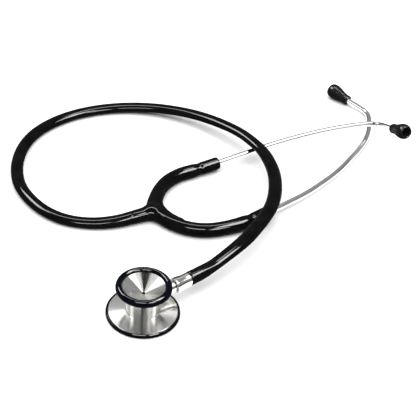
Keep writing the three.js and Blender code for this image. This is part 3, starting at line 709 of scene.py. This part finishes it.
def ring_material():
    """Hard glossy black rim with a trace of navy."""
    s = Shader("rim_black", IOR=1.5, Specular_IOR_Level=0.30)
    s.mottle(5, 3, (0.0005, 0.0010, 0.0025), (0.0010, 0.0020, 0.0050))
    s.wear(2, 5, 0.06, 0.12, low=0.35, high=0.75)
    s.bump((s.noise(0.4, 2), 0.001))
    return s.material


def tip_material():
    """Soft black rubber with a satin skin."""
    s = Shader("tip_black", IOR=1.45, Specular_IOR_Level=0.35)
    s.mottle(2.5, 4, (0.003, 0.003, 0.0035), (0.008, 0.008, 0.0085))
    s.wear(1.5, 5, 0.18, 0.28)
    s.bump((s.noise(0.3, 3), 0.004))
    return s.material


def radial_tangent(s):
    tangent = s.nodes.new("ShaderNodeTangent")
    tangent.direction_type = "RADIAL"
    tangent.axis = "Z"
    s.feed("Tangent", tangent.outputs["Tangent"])


def turned_steel_material():
    """Polished stainless steel with the fine circular tracks of the lathe."""
    s = Shader("turned_steel", Metallic=1.0, Anisotropic=1.0, Anisotropic_Rotation=0.25)
    s.mottle(8, 3, (0.77, 0.765, 0.74), (0.81, 0.805, 0.785))
    tracks = s.tracks(0.12)
    s.feed("Roughness", s.ramp(tracks, [(0.2, 0.17), (0.8, 0.20)]))
    s.bump((tracks, 0.00001))
    radial_tangent(s)
    return s.material


def bright_steel_material():
    """Polished steel of the stem and collar."""
    s = Shader("bright_steel", Metallic=1.0)
    s.mottle(3, 4, (0.74, 0.73, 0.71), (0.80, 0.79, 0.77))
    s.wear(1.5, 5, 0.06, 0.11, low=0.35, high=0.75)
    s.bump((s.noise(0.5, 2), 0.0001))
    return s.material


def chrome_material():
    """Mirror chrome with faint wipe marks."""
    s = Shader("mirror_chrome", Metallic=1.0)
    s.mottle(6, 3, (0.80, 0.81, 0.82), (0.86, 0.87, 0.87))
    s.wear(2.5, 6, 0.07, 0.11, low=0.35, high=0.8)
    s.bump((s.noise(4, 1), 0.0003))
    return s.material


def spring_steel_material():
    """Plain spring steel, slightly matt."""
    s = Shader("spring_steel", Metallic=1.0)
    s.mottle(1, 4, (0.35, 0.35, 0.36), (0.46, 0.46, 0.47))
    s.wear(0.6, 4, 0.25, 0.40)
    return s.material


def seal_material():
    """Matt black seal rubber."""
    s = Shader("seal_black")
    s.mottle(0.8, 3, (0.010, 0.010, 0.010), (0.022, 0.022, 0.022))
    s.wear(0.5, 3, 0.45, 0.62)
    return s.material


def recess_shade_material():
    """Near-black steel: painted shade deep inside the sound hole and the index slot."""
    s = Shader("painted_recess_shade", Metallic=0.6)
    s.mottle(0.8, 3, (0.010, 0.010, 0.009), (0.030, 0.029, 0.026))
    s.wear(0.5, 3, 0.40, 0.60)
    return s.material


def membrane_material():
    """The diaphragm: a stiff sheet of glass cloth in clear resin."""
    s = Shader("diaphragm_sheet", IOR=1.52)
    weave = s.nodes.new("ShaderNodeTexWave")
    weave.inputs["Scale"].default_value = 1 / (1.2 * MM)
    s.links.new(s.place, weave.inputs["Vector"])
    s.mottle(4, 4, (0.66, 0.63, 0.54), (0.74, 0.72, 0.64))
    s.wear(2, 4, 0.22, 0.34)
    s.bump((weave.outputs["Fac"], 0.01))
    return s.material


vinyl = vinyl_material()
rim = ring_material()
tip_rubber = tip_material()
turned_steel = turned_steel_material()
bright_steel = bright_steel_material()
chrome = chrome_material()
spring_steel = spring_steel_material()
seal = seal_material()
membrane = membrane_material()
recess_shade = recess_shade_material()

for piece_name, material in {
    "hose": vinyl,
    "yoke_right": vinyl,
    "yoke_left": vinyl,
    "chestpiece_turned": turned_steel,
    # The sound hole is painted near-black as shade.
    "chestpiece_port": recess_shade,
    "chestpiece_boss": bright_steel,
    "stem_sleeve_turned": bright_steel,
    "stem_collar_turned": bright_steel,
    "diaphragm_sheet": membrane,
    "diaphragm_rim": rim,
    "bell_rim": rim,
    "left_chrome_tube": chrome,
    "right_chrome_tube": chrome,
    "left_soft_tip": tip_rubber,
    "right_soft_tip": tip_rubber,
}.items():
    bpy.data.objects[piece_name].data.materials.append(material)
# Second slot: the index slot's walls and floor, painted near-black as shade.
collar.data.materials.append(recess_shade)

for node_name, material in {
    "stem": bright_steel,
    "stem_circlip": spring_steel,
    "stem_o_ring_inner": seal,
    "stem_o_ring_outer": seal,
    "detent_ball": spring_steel,
    "detent_spring": spring_steel,
    "left_tip_stud": bright_steel,
    "right_tip_stud": bright_steel,
}.items():
    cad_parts[node_name].material_slots[0].material = material

# ---------- Table, light ----------


def floor_material():
    """A plain white table top."""
    s = Shader("table_white")
    s.mottle(40, 3, 0.78, 0.80)
    s.wear(15, 3, 0.55, 0.65)
    return s.material


FLOOR_HALF = 4.0
floor_mesh = bpy.data.meshes.new("floor")
floor_corners = [(x * FLOOR_HALF, y * FLOOR_HALF, 0) for x, y in ((-1, -1), (1, -1), (1, 1), (-1, 1))]
floor_mesh.from_pydata(floor_corners, [], [(0, 1, 2, 3)])
floor_mesh.materials.append(floor_material())
floor = bpy.data.objects.new("floor", floor_mesh)
bpy.context.scene.collection.objects.link(floor)
floor.visible_glossy = False  # reflections show the table panels below instead


LAMP_HEIGHT = 1.0
LAMP_STEP = 0.003  # no two lamps hang at the same height, or one would hide the other
CEILING_HEIGHT = 1.35


def softbox(name, x, y, z, width, depth, turn_deg, radiance, gloss_on=None):
    """A level rectangular lamp of an even brightness. It gives diffuse light to everything, or it
    is only seen in the gloss of one collection of pieces."""
    light = bpy.data.lights.new(name, "AREA")
    light.shape = "RECTANGLE"
    light.size, light.size_y = width, depth
    light.energy = 4 * radiance * width * depth
    lamp = bpy.data.objects.new(name, light)
    bpy.context.scene.collection.objects.link(lamp)
    lamp.location = (x, y, z)
    lamp.rotation_euler.z = math.radians(turn_deg)
    lamp.visible_camera = False
    lamp.visible_glossy = gloss_on is not None
    lamp.visible_diffuse = gloss_on is None
    if gloss_on:
        lamp.light_linking.receiver_collection = gloss_on
    return lamp


def gather(name, pieces):
    """A collection for light linking."""
    group = bpy.data.collections.new(name)
    for piece in pieces:
        group.objects.link(piece)
    return group


metals = {turned_steel, bright_steel, chrome, spring_steel, recess_shade}
pieces = [o for o in bpy.data.objects if o.type == "MESH" and o is not floor and o.data.materials]
shiny = gather("metal", [o for o in pieces if o.data.materials[0] in metals])
black = gather("black", [o for o in pieces if o.data.materials[0] not in metals])

# The light on the table and on everything's own colour.
softbox("ceiling", 0.0, 0.1, CEILING_HEIGHT, 3.2, 2.8, 0, 2.7)

# Soft panels, seen only in the metals: name, x, y, width, depth, turn in degrees, radiance.
for step, (name, x, y, *size, radiance) in enumerate((
    ("panel_right", 0.47, 0.26, 0.70, 0.36, -45, 1.45),
    ("panel_left", -0.77, 0.58, 0.76, 0.60, 121, 1.45),
    ("card_right", 0.24, 0.05, 0.18, 0.70, 0, 0.7),
    ("card_left", -0.36, 0.12, 0.26, 0.65, 0, 0.5),
    ("card_back_left", -0.30, 0.88, 0.56, 0.36, 8, 1.3),
    ("card_back_near", 0.08, 0.74, 0.50, 0.07, -53, 0.9),
    ("card_back_far", 0.18, 1.09, 0.50, 0.20, 0, 0.65),
    ("side_right", 0.87, -0.05, 0.56, 0.44, 0, 2.6),
    ("side_left", -0.92, -0.20, 0.50, 0.42, 0, 2.6),
    ("front_right", 0.85, -0.75, 0.50, 0.40, 0, 1.5),
    ("wall_right", 1.80, 0.0, 3.3, 6.0, 0, 0.17),
    ("wall_left", -1.85, 0.0, 3.3, 6.0, 0, 0.17),
    ("wall_back", -0.03, 2.0, 0.36, 2.9, 0, 0.17),
)):  # fmt: skip
    softbox(name, x, y, LAMP_HEIGHT + step * LAMP_STEP, *size, radiance, gloss_on=shiny)
# The table as the metals see it: four panels facing up from just above it. The front two are
# turned outwards, which leaves a dark wedge where the photographer stands.
PANEL_WIDTH = 3.0
PANEL_HEIGHT = 0.0005
PANEL_RADIANCE = 1.05
for name, side, ahead, turn_deg in (
    ("table_back_left", -1, 1, 0),
    ("table_back_right", 1, 1, 0),
    ("table_left", -1, -1, -5),
    ("table_right", 1, -1, 20),
):
    turn_z = math.radians(turn_deg)
    corner = Vector((side, ahead, 0)) * PANEL_WIDTH / 2
    x, y, _ = Matrix.Rotation(turn_z, 3, "Z") @ corner
    size = (PANEL_WIDTH, PANEL_WIDTH)
    glow = softbox(name, x, y, PANEL_HEIGHT, *size, 0, PANEL_RADIANCE, gloss_on=shiny)
    glow.rotation_euler = (math.pi, 0, turn_z)

# Strong lamps, seen only in the gloss of the black pieces. The columns are the same.
for step, (name, x, y, *size, radiance) in enumerate((
    ("lamp_right", 0.76, 0.0, 0.70, 0.56, 0, 26.0),
    ("lamp_left", -0.80, 0.60, 0.44, 0.66, 0, 18.0),
    ("lamp_back", -0.10, 0.48, 0.90, 0.15, 0, 16.0),
    ("lamp_front", -0.10, -0.82, 0.70, 0.34, 0, 18.0),
    ("lamp_front_right", 0.72, -0.80, 0.50, 0.50, 0, 26.0),
)):  # fmt: skip
    softbox(name, x, y, LAMP_HEIGHT - (1 + step) * LAMP_STEP, *size, radiance, gloss_on=black)

world = bpy.data.worlds.new("room")
bpy.context.scene.world = world
world.use_nodes = True
sky = world.node_tree
split = sky.nodes.new("ShaderNodeSeparateXYZ")
sky.links.new(sky.nodes.new("ShaderNodeTexCoord").outputs["Generated"], split.inputs["Vector"])
height = sky.nodes.new("ShaderNodeValToRGB")  # walls below, a dark ceiling straight above
height.color_ramp.elements[0].position = 0.80
height.color_ramp.elements[0].color = (0.10, 0.10, 0.10, 1)
height.color_ramp.elements[1].position = 0.90
height.color_ramp.elements[1].color = (0.02, 0.02, 0.018, 1)
sky.links.new(split.outputs["Z"], height.inputs["Fac"])
sky.links.new(height.outputs["Color"], sky.nodes["Background"].inputs["Color"])
sky.nodes["Background"].inputs["Strength"].default_value = 1.0

bpy.context.scene.view_settings.view_transform = "Standard"
